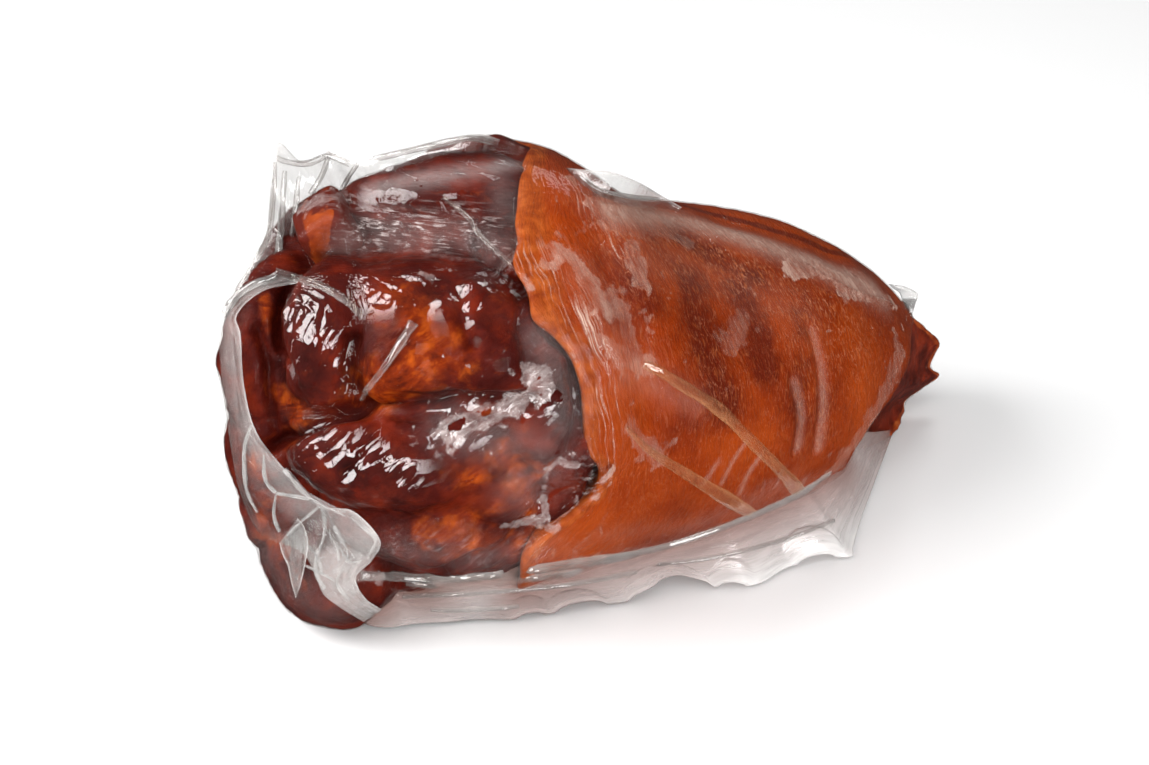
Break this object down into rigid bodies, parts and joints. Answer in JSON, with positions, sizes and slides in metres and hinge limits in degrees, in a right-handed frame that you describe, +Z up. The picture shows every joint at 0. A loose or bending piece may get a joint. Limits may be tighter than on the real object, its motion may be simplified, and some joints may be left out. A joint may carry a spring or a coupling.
{
  "type": "vacuum-packed smoked ham shank",
  "caption": "Smoked ham shank with skin and bulging cut meat, sealed tight in a clear shrink bag with a loose flange and a crumpled mouth.",
  "frame": {"origin": "middle of the pack's bounding box, at the surface it lies on", "axes": "+X along the shank from the cut meat to the narrow end, -Y towards the side with the front flange, +Z up"},
  "size_m": [0.2318, 0.1214, 0.1264],
  "materials": {
    "clear_film": "thin clear shrink film, wet gloss where it clings, milky where it bridges hollows",
    "smoked_skin": "orange-brown smoked pork skin with fine cross wrinkles and darker mottling",
    "smoked_meat": "dark red-brown smoked meat, wet gloss",
    "smoked_fat": "amber smoked fat, soft gloss"
  },
  "bodies": {
    "root": {"sealed_pack": "clear_film"}
  },
  "joints": []
}
